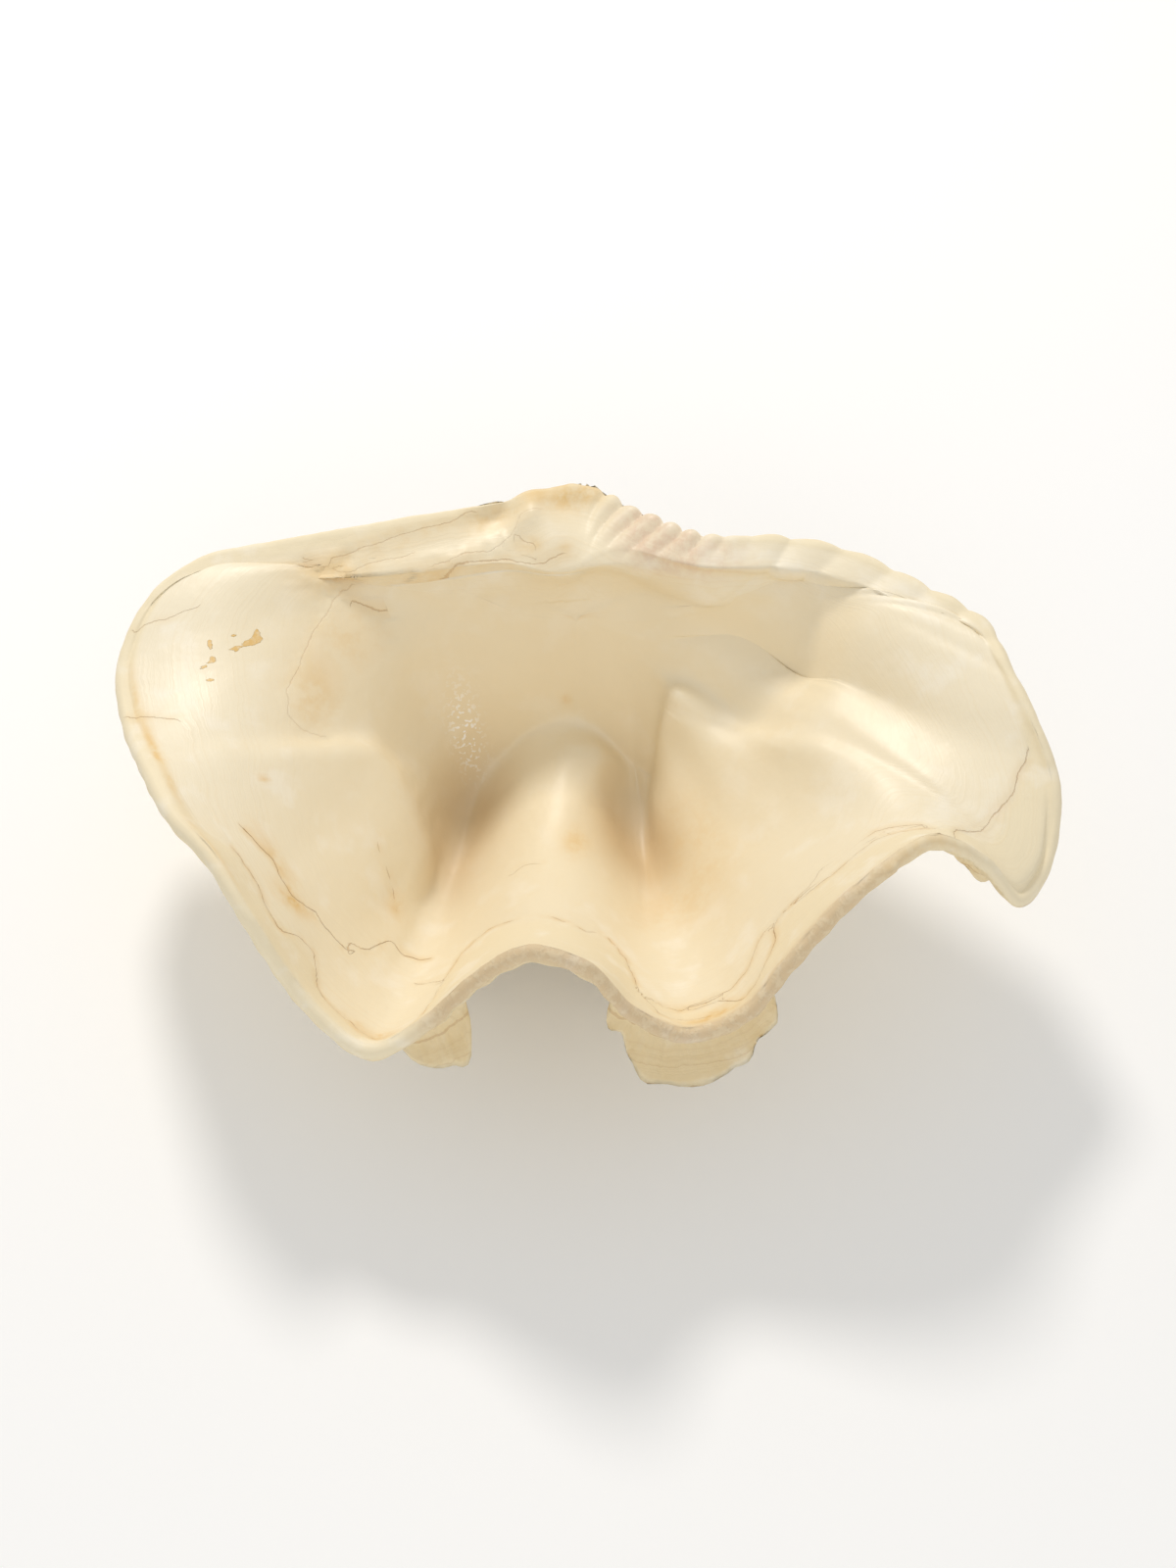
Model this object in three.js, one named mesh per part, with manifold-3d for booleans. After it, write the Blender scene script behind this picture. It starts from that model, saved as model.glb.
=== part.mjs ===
// One valve of a fluted giant clam: a single grown shell, built in millimetres.
//
// The shell grows by similar steps. Its margin is one closed loop that starts at the beak, runs
// out along the hinge, round the folded front and back along the byssal side. Every older margin
// is that loop, smaller, and turned about the hinge line, so the ribs fan out from the beak. The
// cavity lies a wall's thickness inside, its folds fade towards the beak, and leaf-like scutes
// stand on the ribs at older margins.
//
// Shell frame: the beak is at the origin, +X runs along the hinge, -Y points to the front margin
// and +Z out of the cavity. The finished shell is then set down on the worn tips of its scutes.

import * as THREE from 'three';
import Module from 'manifold-3d';

// ---- driving dimensions, in millimetres and radians

const samples = 432; // points round the margin that the shape is worked out on
const columnStride = 4; // every fourth of them makes a column of the solid
const fullTurn = THREE.MathUtils.degToRad( 122 ); // how far the margin has turned since the beak
const cavityTurn = 0.88; // share of that turn at the deep end of the cavity
const cavityApex = new THREE.Vector3( - 3, - 24, - 32 ); // deep end of the cavity, under the beak
const edgeThickness = 4.5;

// Tables of [ size of the margin, value ]; size 1 is today's margin and size 0 the beak.
const wallThickness = [
	[ 0, 14 ], [ 0.25, 13 ], [ 0.45, 11.5 ], [ 0.7, 8.5 ], [ 0.9, 6.5 ], [ 0.96, 5.4 ], [ 1, 4.2 ],
];
const outerFolds = [ [ 0, 0.5 ], [ 0.5, 0.75 ], [ 1, 1 ] ];
const cavityFolds = { gone: 0.37, whole: 0.58 }; // sizes between which the folds inside appear

// Share of the whole margin over which a loop is averaged: for a wall, and to lose the folds.
const averaging = { direction: 0.008, wall: 0.012, folds: 0.05 };

// Scutes: the margins they grew on, the shape of their foot and what wear has left of them.
const scutes = {
	sizes: [ 0.41, 0.54, 0.67, 0.8, 0.93 ],
	foot: [ - 0.016, 0.012 ], // from the side of the beak to the side of the margin
	tip: [ - 0.006, 0 ],
	stand: 0.85, // off the rib, for each millimetre of reach
	lean: 0.5, // towards the margin, for each millimetre of reach
	left: [ [ 0.41, 0.38 ], [ 0.54, 0.4 ], [ 0.67, 0.45 ], [ 0.8, 0.65 ], [ 0.93, 1 ] ],
};

// The wall under the byssal side is tucked in, so that the margin overhangs it.
const tuck = { depth: 13, along: [ - 34, - 12, 45, 80 ], below: 8, behind: [ 14, 40 ] };

// Wall of the cavity under the hinge: x, then y at its top, and how far it leans out of upright for
// each mm down, above and below the first twenty.
const backWall = [
	[ - 125, - 36, 0.3, 0.6 ], [ - 84, - 39, 0.35, 0.6 ], [ - 55, - 34, 0.35, 0.5 ], [ - 23, - 28, 0.35, 0.45 ],
	[ - 3, - 27, 0.3, 0.45 ], [ 20, - 27, 0.2, 0.6 ], [ 44, - 38, 0.2, 0.8 ], [ 71, - 38.5, 0.2, 0.8 ],
	[ 94, - 42, 0.3, 0.8 ], [ 125, - 55, 0.3, 0.8 ],
];

// Brows: where the folds end towards the beak, raised and steep on one side. Hollows are the same,
// but sink. The rise fades behind the edge, to the right of the way the edge runs.
const brows = [
	{ fade: 34, way: [ 0.5, 0, 0.86 ], edge: [ [ - 118, - 107, 3 ], [ - 93, - 92, 8 ], [ - 79, - 84, 11 ],
		[ - 68, - 88, 12 ], [ - 62, - 98, 12 ], [ - 55, - 110, 12 ], [ - 58, - 124, 9 ], [ - 62, - 140, 2 ] ] },
	{ fade: 22, way: [ 0.3, 0.2, 0.93 ], edge: [ [ - 21, - 73, 2 ], [ - 7, - 63, 6 ], [ 5, - 64, 8 ],
		[ 17, - 71, 9 ], [ 10, - 79, 7 ], [ 4, - 88, 2 ] ] },
	{ fade: 28, way: [ - 0.4, 0, 0.92 ], edge: [ [ 25, - 112, 4 ], [ 26, - 98, 9 ], [ 25, - 83, 12 ],
		[ 29, - 65, 13 ], [ 34, - 55, 14 ], [ 50, - 62, 18 ], [ 64, - 79, 15 ], [ 79, - 92, 3 ] ] },
	{ fade: 12, way: [ 0.2, 0, 0.98 ], edge: [ [ 44, - 160, 0 ], [ 33, - 140, - 2 ], [ 22, - 118, - 4 ],
		[ 10, - 98, - 6 ], [ 4, - 88, - 5 ], [ 12, - 78, - 2 ], [ 20, - 70, 0 ] ] },
	{ fade: 29, way: [ 0, 0, 1 ], edge: [ [ 104, - 44, - 2 ], [ 94, - 56, - 14 ], [ 84, - 70, - 24 ],
		[ 74, - 82, - 20 ], [ 66, - 92, - 4 ] ] },
	{ fade: 16, way: [ 0, 0, 1 ], edge: [ [ - 34, - 100, 0 ], [ - 48, - 98, - 6 ], [ - 57, - 91, - 9 ],
		[ - 60, - 80, - 8 ], [ - 54, - 70, - 2 ] ] },
];

// How the shell lies: lean to the front, roll to the side, and the point of the shell frame that
// becomes the part's origin, on the surface it rests on and under the middle of its outline.
const rest = {
	lean: THREE.MathUtils.degToRad( 0.19 ),
	roll: THREE.MathUtils.degToRad( - 2.93 ),
	origin: new THREE.Vector3( - 4.79, - 108.03, - 101.76 ),
};

// Stations round the margin: x, y, z, width of the hinge plate or lip, its fall to the cavity,
// flare of the margin, and extra thickness that fills the wings.
const stations = [
	[ 0, - 2.5, 0, 23, 9, 0.1, 0 ], // beak
	[ - 34, - 9.5, 0, 22, 8, 0.1, 0 ],
	[ - 77, - 19, 0, 20, 8, 0.15, 0 ],
	[ - 112, - 27, 0, 15, 5, 0.5, 2 ], // end of the hinge
	[ - 139, - 35, 0, 7, 1, 0.8, 5 ],
	[ - 157, - 52, - 3, 4, 0, 0.9, 6 ],
	[ - 165, - 77, - 8, 4, 0, 0.93, 6 ], // hind rib
	[ - 160, - 101, - 6, 4, 0, 0.85, 5 ],
	[ - 149, - 126, 6, 4, 0, 0.6, 2 ],
	[ - 136, - 151, 16, 4, 0, 0.3, 0 ], // first fold
	[ - 122, - 167, 17, 4, 0, 0.1, 0 ],
	[ - 110, - 184, 8, 4, 0, 0.1, 0 ],
	[ - 91, - 203, - 21, 4, 0, 0.1, 0 ],
	[ - 71, - 216, - 28, 4, 0, 0.1, 0 ], // second rib
	[ - 52, - 211, - 19, 4, 0, 0.1, 0 ],
	[ - 35, - 205, 2, 4, 0, 0.1, 0 ],
	[ - 17, - 202, 18, 4, 0, 0.1, 0 ], // second fold
	[ 0, - 205, 13, 4, 0, 0.1, 0 ],
	[ 15, - 210, - 10, 4, 0, 0.1, 0 ],
	[ 35, - 211, - 26, 4, 0, 0.1, 0 ], // third rib
	[ 54, - 206, - 20, 4, 0, 0.1, 0 ],
	[ 68, - 195, - 5, 4, 0, 0.1, 0 ],
	[ 88, - 179, 13, 4, 0, 0.1, 0 ],
	[ 112, - 163, 19, 4, 0, 0.2, 0 ], // third fold
	[ 123, - 160, 10, 4, 0, 0.55, 0 ],
	[ 134.5, - 158, - 7, 4, 0, 0.95, 1 ],
	[ 149, - 161.5, - 25, 4, 0, 1.25, 3 ], // fore rib, a drooping flap
	[ 160.5, - 147, - 26, 4, 0, 1.25, 4 ],
	[ 164.5, - 122, - 13, 4, 0, 1, 5 ],
	[ 156.5, - 101, - 1, 4, 0, 0.85, 5 ],
	[ 149, - 84, 3, 4, 0, 0.8, 5 ],
	[ 141.5, - 65, 4, 6, 1, 0.8, 5 ],
	[ 121, - 48.5, 3, 10, 3, 0.7, 4 ],
	[ 94, - 31, 1, 12, 5, 0.5, 2 ],
	[ 71, - 25, 0, 13, 4, 0.3, 0 ],
	[ 44, - 24, 0, 13, 4.5, 0.15, 0 ], // byssal side
	[ 20, - 12.5, 0, 14, 4.5, 0.1, 0 ],
];

// Ribs that carry scutes: station of the crest, half width and reach of the outermost scute, and
// how pointed it is (0.5 is a round leaf).
const ribs = [
	{ station: 6, halfWidth: 30, reach: 14, point: 0.5 },
	{ station: 13.88, halfWidth: 16, reach: 21, point: 0.9 },
	{ station: 19.3, halfWidth: 29, reach: 26, point: 0.65 },
	{ station: 26, halfWidth: 22, reach: 4, point: 0.5 },
];

// Bumps on the hinge plate: place, half sizes, turn in the plane of the plate, and height.
const teeth = [
	{ x: - 24, y: - 12, halfSizes: [ 10, 5 ], turn: 0.35, height: 3 }, // cardinal tooth
	{ x: - 14, y: - 24, halfSizes: [ 13, 9 ], turn: 0, height: 3.5 },
	{ x: - 62, y: - 30, halfSizes: [ 30, 4 ], turn: 0.28, height: 2 }, // lateral ridge
	{ x: - 42, y: - 15, halfSizes: [ 11, 5 ], turn: 0.25, height: - 2 }, // socket
];

// ---- numbers

const mix = THREE.MathUtils.lerp;
const ease = ( x, from, to ) => THREE.MathUtils.smoothstep( x, from, to );

// Straight-line reading of a table of [ at, value ].
function read( table, at ) {

	const next = Math.max( 1, table.findIndex( ( [ x ] ) => x >= at ) );
	const [ [ x0, y0 ], [ x1, y1 ] ] = [ table[ next - 1 ], table[ next ] ];
	return mix( y0, y1, ( at - x0 ) / ( x1 - x0 ) );

}

// A closed list of vectors, each the Gaussian mean of its neighbours.
function averaged( loop, share ) {

	const sigma = share * samples;
	const reach = Math.ceil( 4 * sigma );
	return loop.map( ( _, i ) => {

		const sum = new THREE.Vector3();
		let total = 0;
		for ( let k = - reach; k <= reach; k ++ ) {

			const weight = Math.exp( - 0.5 * ( k / sigma ) ** 2 );
			sum.addScaledVector( loop.at( ( i + k ) % samples ), weight );
			total += weight;

		}

		return sum.divideScalar( total );

	} );

}

// ---- the margin, as points evenly spaced along a curve through the stations

const blend = ( a, b, t ) => a.map( ( value, k ) => mix( value, b[ k ], t ) );
const spacing = ( a, b ) => Math.hypot( a[ 0 ] - b[ 0 ], a[ 1 ] - b[ 1 ], a[ 2 ] - b[ 2 ] );

// Centripetal Catmull-Rom curve between b and c, for all the columns of the stations.
function between( [ a, b, c, d ], share ) {

	const t1 = Math.sqrt( spacing( a, b ) );
	const t2 = t1 + Math.sqrt( spacing( b, c ) );
	const t3 = t2 + Math.sqrt( spacing( c, d ) );
	const t = mix( t1, t2, share );
	const ab = blend( a, b, t / t1 );
	const bc = blend( b, c, ( t - t1 ) / ( t2 - t1 ) );
	const cd = blend( c, d, ( t - t2 ) / ( t3 - t2 ) );
	return blend( blend( ab, bc, t / t2 ), blend( bc, cd, ( t - t1 ) / ( t3 - t1 ) ), share );

}

const fine = 24; // steps of the curve between two stations
const curve = stations.flatMap( ( _, i ) => {

	const near = [ - 1, 0, 1, 2 ].map( ( k ) => stations.at( ( i + k ) % stations.length ) );
	return Array.from( { length: fine }, ( _, k ) => between( near, k / fine ) );

} );
curve.push( curve[ 0 ] );

const along = [ 0 ]; // distance from the beak to each point of the curve
for ( let i = 1; i < curve.length; i ++ ) along.push( along[ i - 1 ] + spacing( curve[ i - 1 ], curve[ i ] ) );

const girth = along.at( - 1 );
const places = Array.from( { length: samples }, ( _, i ) => i / samples * girth );
const margin = places.map( ( place ) => {

	const next = Math.max( 1, along.findIndex( ( x ) => x >= place ) );
	return blend( curve[ next - 1 ], curve[ next ], ( place - along[ next - 1 ] ) / ( along[ next ] - along[ next - 1 ] ) );

} );

const edge = margin.map( ( [ x, y, z ] ) => new THREE.Vector3( x, y, z ) );
const form = averaged( margin.map( ( m ) => new THREE.Vector3( m[ 5 ], m[ 6 ], 0 ) ), 0.012 );
const flare = form.map( ( v ) => v.x );
const fill = form.map( ( v ) => v.y );
const lip = averaged( margin.map( ( m ) => new THREE.Vector3( m[ 3 ], m[ 4 ], 0 ) ), 0.004 );

// Distance from the beak round the margin, the share of hinge plate, and the share of folded front.
const away = places.map( ( place ) => Math.min( place, girth - place ) );
const hinge = away.map( ( x, i ) => ( i > samples / 2 ? 1 - ease( x, 85, 185 ) : 1 - ease( x, 80, 160 ) ) );
const front = away.map( ( x ) => ease( x, 150, 260 ) );
const rimHeight = away.map( ( x ) => edgeThickness * ( 0.35 + 0.65 * ease( x, 10, 60 ) ) );

// Unit vectors in the plane of the opening, from the margin into the shell.
const inward = averaged( edge.map( ( _, i ) => {

	const tangent = edge[ ( i + 1 ) % samples ].clone().sub( edge.at( i - 1 ) );
	return new THREE.Vector3( - tangent.y, tangent.x, 0 ).normalize();

} ), averaging.direction ).map( ( v ) => v.normalize() );

const brim = edge.map( ( p, i ) => p.clone().addScaledVector( inward[ i ], lip[ i ].x )
	.setZ( p.z + rimHeight[ i ] - lip[ i ].y ) );
const unfolded = ( loop, share ) => averaged( loop, share ).map( ( p, i ) => loop[ i ].clone().lerp( p, front[ i ] ) );
const smoothEdge = unfolded( edge, averaging.folds );
const softEdge = unfolded( edge, averaging.wall );
const smoothBrim = averaged( brim, averaging.folds );

// ---- growth

const hingeAxis = new THREE.Vector3( 1, 0, 0 );
const turned = ( point, angle ) => point.clone().applyAxisAngle( hingeAxis, angle );
const turnAt = ( s, i ) => fullTurn * ( 1 - s ) * ( 1 - flare[ i ] * s ); // a flared margin turns late

// The margin when the shell had size s; folds is how deep its folds were, soft how blunt.
function grownPoint( i, s, folds = read( outerFolds, s ), soft = 0 ) {

	const folded = edge[ i ].clone().lerp( softEdge[ i ], soft );
	return turned( smoothEdge[ i ].clone().lerp( folded, folds ).multiplyScalar( s ), turnAt( s, i ) );

}

// Directions on that surface: towards the margin, and out of the shell.
function grownFrame( i, s, folds ) {

	const step = 0.003;
	const toMargin = grownPoint( i, s + step, folds ).sub( grownPoint( i, s - step, folds ) ).normalize();
	const aside = grownPoint( ( i + 1 ) % samples, s, folds ).sub( grownPoint( ( i + samples - 1 ) % samples, s, folds ) );
	return { toMargin, out: aside.cross( toMargin ).normalize() };

}

const every = Array.from( { length: samples }, ( _, i ) => i );

// A row of the cavity: the wall's thickness inside the outer face, eased into the brim at the
// margin and into a simpler, turned-in bowl below the beak.
function cavityRow( s ) {

	const folds = read( outerFolds, s ) * ease( s, cavityFolds.gone, cavityFolds.whole );
	const soft = 1 - ease( s, 0.86, 1 );
	const outs = averaged( every.map( ( i ) => grownFrame( i, s, folds ).out ), 0.01 );
	return every.map( ( i ) => {

		const base = grownPoint( i, s, folds, soft );
		const filled = fill[ i ] * ( 1 - ease( s, 0.78, 1 ) ) * ( 0.35 + 0.65 * ease( s, 0.35, 0.62 ) );
		const thick = read( wallThickness, s ) + filled;
		const plate = Math.max( thick, Math.hypot( lip[ i ].x, lip[ i ].y - rimHeight[ i ] ) * ( 0.4 + 0.6 * s ) );
		const wall = base.clone().addScaledVector( outs[ i ].normalize(), - mix( thick, plate, hinge[ i ] ) );
		const fromBrim = base.add( turned( brim[ i ].clone().sub( edge[ i ] ), turnAt( s, i ) ) );
		wall.lerp( fromBrim, ease( s, 0.965 - 0.165 * hinge[ i ], 1 ) );
		const bowl = turned( smoothBrim[ i ].clone().multiplyScalar( s ), turnAt( s, i ) * cavityTurn )
			.addScaledVector( cavityApex, ( 1 - s ) ** 2 );
		return bowl.lerp( wall, ease( s, 0.1 + 0.15 * hinge[ i ], 0.42 + 0.36 * hinge[ i ] ) );

	} );

}

// Pushes the points under the hinge forward, onto the wall of the cavity.
function backed( row ) {

	for ( const p of row ) {

		const [ top, upper, lower ] = [ 1, 2, 3 ].map( ( k ) =>
			read( backWall.map( ( w ) => [ w[ 0 ], w[ k ] ] ), p.x ) );
		const depth = Math.max( 0, - p.z - 3 );
		const limit = top - upper * Math.min( depth, 20 ) - lower * Math.max( depth - 20, 0 );
		const over = Math.min( ( p.y - limit ) / 2.5, 20 );
		const push = 2.5 * Math.log1p( Math.exp( over ) ) + Math.max( 0, p.y - limit - 50 );
		p.y -= push * ease( - p.z, 2, 9 ) * ease( p.x, - 150, - 120 ) * ( 1 - ease( p.x, 110, 140 ) );

	}

	return row;

}

// Height of a brow at a point in plan: nothing in front of its edge, fading behind it.
function browHeight( brow, x, y ) {

	let near = { gap: 1e3, height: 0 };
	brow.edge.slice( 1 ).forEach( ( [ bx, by, bh ], k ) => {

		const [ ax, ay, ah ] = brow.edge[ k ];
		const [ dx, dy, wx, wy ] = [ bx - ax, by - ay, x - ax, y - ay ];
		const share = THREE.MathUtils.clamp( ( wx * dx + wy * dy ) / ( dx * dx + dy * dy ), 0, 1 );
		const far = Math.hypot( wx - share * dx, wy - share * dy );
		if ( far < Math.abs( near.gap ) ) {

			near = { gap: dx * wy - dy * wx > 0 ? far : - far, height: mix( ah, bh, share ) };

		}

	} );
	const behind = Math.min( near.gap, 0 ) / brow.fade;
	return near.height * ease( - near.gap, - 2, 7 ) * Math.exp( - behind * behind );

}

function browed( row ) {

	return row.map( ( p ) => brows.reduce( ( raised, brow ) => raised.addScaledVector(
		new THREE.Vector3( ...brow.way ), browHeight( brow, p.x, p.y ) ), p.clone() ) );

}

// ---- scutes

// How far the outermost scute reaches at each point of the margin.
const scuteReach = averaged( places.map( ( place ) => new THREE.Vector3( Math.max( 0, ...ribs.map( ( rib ) => {

	const crest = mix( along[ Math.floor( rib.station ) * fine ], along[ Math.ceil( rib.station ) * fine ], rib.station % 1 );
	const share = Math.abs( place - crest ) / rib.halfWidth;
	return rib.reach * Math.max( 0, 1 - share * share ) ** rib.point;

} ) ) ) ), 0.004 ).map( ( v ) => v.x );

function scuteRow( size, shift ) {

	const left = read( scutes.left, size );
	return every.map( ( i ) => {

		const { toMargin, out } = grownFrame( i, size );
		return grownPoint( i, size + shift )
			.addScaledVector( out, scuteReach[ i ] * left * scutes.stand )
			.addScaledVector( toMargin, scuteReach[ i ] * left * scutes.lean );

	} );

}

// ---- rows of points, from the beak over the outside, across the edge and down the cavity

const outerRow = ( s ) => every.map( ( i ) => grownPoint( i, s ) );

// The rounded edge: a quarter turn from the outer face to the top.
const edgeRow = ( angle ) => every.map( ( i ) => edge[ i ].clone()
	.addScaledVector( inward[ i ], rimHeight[ i ] * 0.55 * ( 1 - Math.cos( angle ) ) )
	.add( new THREE.Vector3( 0, 0, rimHeight[ i ] * 0.96 * Math.sin( angle ) ) ) );

const plateRow = ( share ) => every.map( ( i ) => {

	const top = edge[ i ].clone().addScaledVector( inward[ i ], 0.6 * rimHeight[ i ] );
	return top.setZ( edge[ i ].z + rimHeight[ i ] ).lerp( brim[ i ], share );

} );

// Raises the points of the hinge plate over its teeth.
function withTeeth( row ) {

	for ( const p of row ) {

		for ( const tooth of teeth ) {

			const off = new THREE.Vector2( p.x - tooth.x, p.y - tooth.y ).rotateAround( new THREE.Vector2(), - tooth.turn );
			const far = ( off.x / tooth.halfSizes[ 0 ] ) ** 2 + ( off.y / tooth.halfSizes[ 1 ] ) ** 2;
			p.z += tooth.height * Math.exp( - far ) * ease( p.z, - 20, - 12 );

		}

	}

	return row;

}

// The wall under the byssal side, tucked in.
function tucked( row ) {

	const [ start, full, still, end ] = tuck.along;
	for ( const p of row ) {

		p.y -= tuck.depth * ease( p.x, start, full ) * ( 1 - ease( p.x, still, end ) )
			* ease( - p.z, 0, tuck.below ) * ( 1 - ease( - p.y, ...tuck.behind ) );

	}

	return row;

}

const rows = [
	...[ 0.08, 0.16, 0.24, 0.32 ].map( outerRow ),
	...scutes.sizes.flatMap( ( size ) => [
		outerRow( size + scutes.foot[ 0 ] ),
		scuteRow( size, scutes.tip[ 0 ] ),
		scuteRow( size, scutes.tip[ 1 ] ),
		outerRow( size + scutes.foot[ 1 ] ),
		outerRow( size + 0.055 ),
	] ),
	edgeRow( 0 ),
	edgeRow( Math.PI / 4 ),
	...[ 0, 0.5, 1 ].map( plateRow ).map( withTeeth ),
	...[ 0.975, 0.93, 0.87, 0.79, 0.7, 0.61, 0.52, 0.43, 0.34, 0.22, 0.09 ].map( cavityRow ).map( backed ).map( browed ),
].map( ( row ) => tucked( row.filter( ( _, i ) => i % columnStride === 0 ) ) );

// ---- one closed surface from the rows

function meanOf( row ) {

	return row.reduce( ( sum, p ) => sum.add( p ), new THREE.Vector3() ).divideScalar( row.length );

}

function closedGeometry() {

	const across = rows[ 0 ].length;
	const points = [ ...rows.flat(), meanOf( rows[ 0 ] ), meanOf( rows.at( - 1 ) ) ];
	const [ beakTip, cavityEnd ] = [ points.length - 2, points.length - 1 ];
	const faces = [];
	for ( let j = 0; j < across; j ++ ) {

		const next = ( j + 1 ) % across;
		for ( let r = 0; r < rows.length - 1; r ++ ) {

			const [ a, b ] = [ r * across + j, r * across + next ];
			faces.push( a, b, b + across, a, b + across, a + across );

		}

		const last = ( rows.length - 1 ) * across;
		faces.push( beakTip, next, j, cavityEnd, last + j, last + next );

	}

	const geometry = new THREE.BufferGeometry().setFromPoints( points );
	geometry.setIndex( faces );
	return geometry;

}

// ---- how it lies

// The shell set down, with the tips of its scutes ground flat where they touch.
async function laidDown( geometry ) {

	geometry.translate( - rest.origin.x, - rest.origin.y, - rest.origin.z );
	geometry.rotateX( rest.lean );
	geometry.rotateY( rest.roll );

	const wasm = await Module();
	wasm.setup();
	const whole = new wasm.Manifold( new wasm.Mesh( {
		numProp: 3,
		vertProperties: new Float32Array( geometry.attributes.position.array ),
		triVerts: new Uint32Array( geometry.index.array ),
	} ) );
	const ground = wasm.Manifold.cube( [ 600, 600, 100 ], true ).translate( [ 0, 0, - 50 ] );
	const { vertProperties, triVerts } = whole.subtract( ground ).getMesh();
	const worn = new THREE.BufferGeometry();
	worn.setAttribute( 'position', new THREE.BufferAttribute( vertProperties, 3 ) );
	worn.setIndex( new THREE.BufferAttribute( triVerts, 1 ) );
	return worn;

}

const geometry = await laidDown( closedGeometry() );
geometry.computeVertexNormals();

const shell = new THREE.Mesh( geometry, new THREE.MeshStandardMaterial( {
	color: 0xeadbb9, roughness: 0.45, metalness: 0,
} ) );
shell.name = 'clam_valve';

const part = new THREE.Group();
part.add( shell );

export default part;
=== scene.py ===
# One valve of a fluted giant clam, lying on its back on a pale studio floor.
# The shell is grown here from the same margin as the CAD solid, finely enough to carry its
# growth steps, byssal folds and leafy scutes; its finish is painted by nodes from what the mesh
# knows of itself: distance from the edge, place round it, age, and how chalky or stained it is.
import math
import bpy
import numpy as np
from mathutils import Matrix, Vector


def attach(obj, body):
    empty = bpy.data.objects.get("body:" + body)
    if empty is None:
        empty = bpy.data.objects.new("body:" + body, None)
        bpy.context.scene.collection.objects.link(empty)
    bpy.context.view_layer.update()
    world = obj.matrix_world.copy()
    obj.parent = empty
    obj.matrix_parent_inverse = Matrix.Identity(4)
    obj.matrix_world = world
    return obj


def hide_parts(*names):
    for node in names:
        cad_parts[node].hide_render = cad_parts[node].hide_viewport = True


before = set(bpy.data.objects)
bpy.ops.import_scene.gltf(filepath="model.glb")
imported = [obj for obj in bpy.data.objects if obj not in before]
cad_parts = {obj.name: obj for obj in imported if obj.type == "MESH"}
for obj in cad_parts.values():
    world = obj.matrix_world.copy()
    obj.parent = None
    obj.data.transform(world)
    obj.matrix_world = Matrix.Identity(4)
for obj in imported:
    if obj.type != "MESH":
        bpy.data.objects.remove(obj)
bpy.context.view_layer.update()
print("frame loaded")

# ---------- growth: millimetres in the shell's own frame, beak at the origin, cavity up

growth = {
    "fullTurn": 122,             # degrees the margin has turned since the beak
    "cavityTurn": 0.88,
    "cavityApex": (-3, -24, -32),
    "edgeThickness": 4.5,
    "wall": [(0, 14), (.25, 13), (.45, 11.5), (.7, 8.5), (.9, 6.5), (.96, 5.4), (1, 4.2)],
    "outerFolds": [(0, .5), (.5, .75), (1, 1)],
    "cavityFolds": (.37, .58),   # sizes between which the folds inside appear
    "averaging": {"direction": .008, "wall": .012, "folds": .05},
}

# x, y, z, width of hinge plate or lip, its fall, flare, extra thickness in the wings
stations = [
    (0, -2.5, 0, 23, 9, .1, 0), (-34, -9.5, 0, 22, 8, .1, 0), (-77, -19, 0, 20, 8, .15, 0),
    (-112, -27, 0, 15, 5, .5, 2), (-139, -35, 0, 7, 1, .8, 5), (-157, -52, -3, 4, 0, .9, 6),
    (-165, -77, -8, 4, 0, .93, 6), (-160, -101, -6, 4, 0, .85, 5), (-149, -126, 6, 4, 0, .6, 2),
    (-136, -151, 16, 4, 0, .3, 0), (-122, -167, 17, 4, 0, .1, 0), (-110, -184, 8, 4, 0, .1, 0),
    (-91, -203, -21, 4, 0, .1, 0), (-71, -216, -28, 4, 0, .1, 0), (-52, -211, -19, 4, 0, .1, 0),
    (-35, -205, 2, 4, 0, .1, 0), (-17, -202, 18, 4, 0, .1, 0), (0, -205, 13, 4, 0, .1, 0),
    (15, -210, -10, 4, 0, .1, 0), (35, -211, -26, 4, 0, .1, 0), (54, -206, -20, 4, 0, .1, 0),
    (68, -195, -5, 4, 0, .1, 0), (88, -179, 13, 4, 0, .1, 0), (112, -163, 19, 4, 0, .2, 0),
    (123, -160, 10, 4, 0, .55, 0), (134.5, -158, -7, 4, 0, .95, 1), (149, -161.5, -25, 4, 0, 1.25, 3),
    (160.5, -147, -26, 4, 0, 1.25, 4), (164.5, -122, -13, 4, 0, 1, 5),
    (156.5, -101, -1, 4, 0, .85, 5), (149, -84, 3, 4, 0, .8, 5), (141.5, -65, 4, 6, 1, .8, 5),
    (121, -48.5, 3, 10, 3, .7, 4), (94, -31, 1, 12, 5, .5, 2), (71, -25, 0, 13, 4, .3, 0),
    (44, -24, 0, 13, 4.5, .15, 0), (20, -12.5, 0, 14, 4.5, .1, 0),
]

# how the valve lies, the same as in the CAD
rest = {"lean": 0.19, "roll": -2.93, "origin": (-4.79, -108.03, -101.76)}

columns = 1020                   # about a millimetre apart at the edge


def smoothStep(x, low, high):
    t = np.clip((np.asarray(x, float) - low) / (high - low), 0, 1)
    return t * t * (3 - 2 * t)


def readTable(table, x):
    return np.interp(x, [row[0] for row in table], [row[1] for row in table])


def averaged(loop, share):       # Gaussian mean round a closed loop
    turns = np.fft.fftfreq(len(loop)) * len(loop)
    weight = np.exp(-.5 * (2 * math.pi * turns * share) ** 2)
    weight = weight.reshape((-1,) + (1,) * (loop.ndim - 1))
    return np.real(np.fft.ifft(np.fft.fft(loop, axis=0) * weight, axis=0))


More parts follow.
